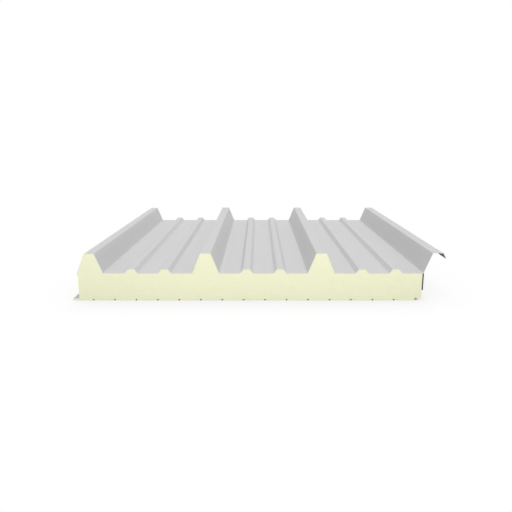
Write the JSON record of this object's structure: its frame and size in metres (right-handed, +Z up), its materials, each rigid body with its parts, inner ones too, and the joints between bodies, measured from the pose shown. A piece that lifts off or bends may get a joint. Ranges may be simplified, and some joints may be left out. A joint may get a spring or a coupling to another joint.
{
  "type": "insulated sandwich panel",
  "caption": "Foam-cored roof panel between ribbed steel sheets, with an empty overlap crown on one side and a tongue-and-rebate liner joint below.",
  "frame": {"origin": "on the underside, in the middle of the cover width and of the length", "axes": "+Z up, out of the weather side; +X across the ribs, towards the empty overlap crown; +Y along the ribs"},
  "size_m": [1.078, 1, 0.141],
  "materials": {
    "outer_coating": "light grey polyester coil coating, low gloss",
    "rigid_foam": "sawn pale yellow polyisocyanurate foam",
    "liner_coating": "light grey polyester coil coating, low gloss",
    "gasket_foam": "dark grey closed-cell foam strip"
  },
  "bodies": {
    "root": {"outer_sheet": "outer_coating", "foam_core": "rigid_foam", "liner_sheet": "liner_coating", "joint_gasket": "gasket_foam"}
  },
  "joints": []
}
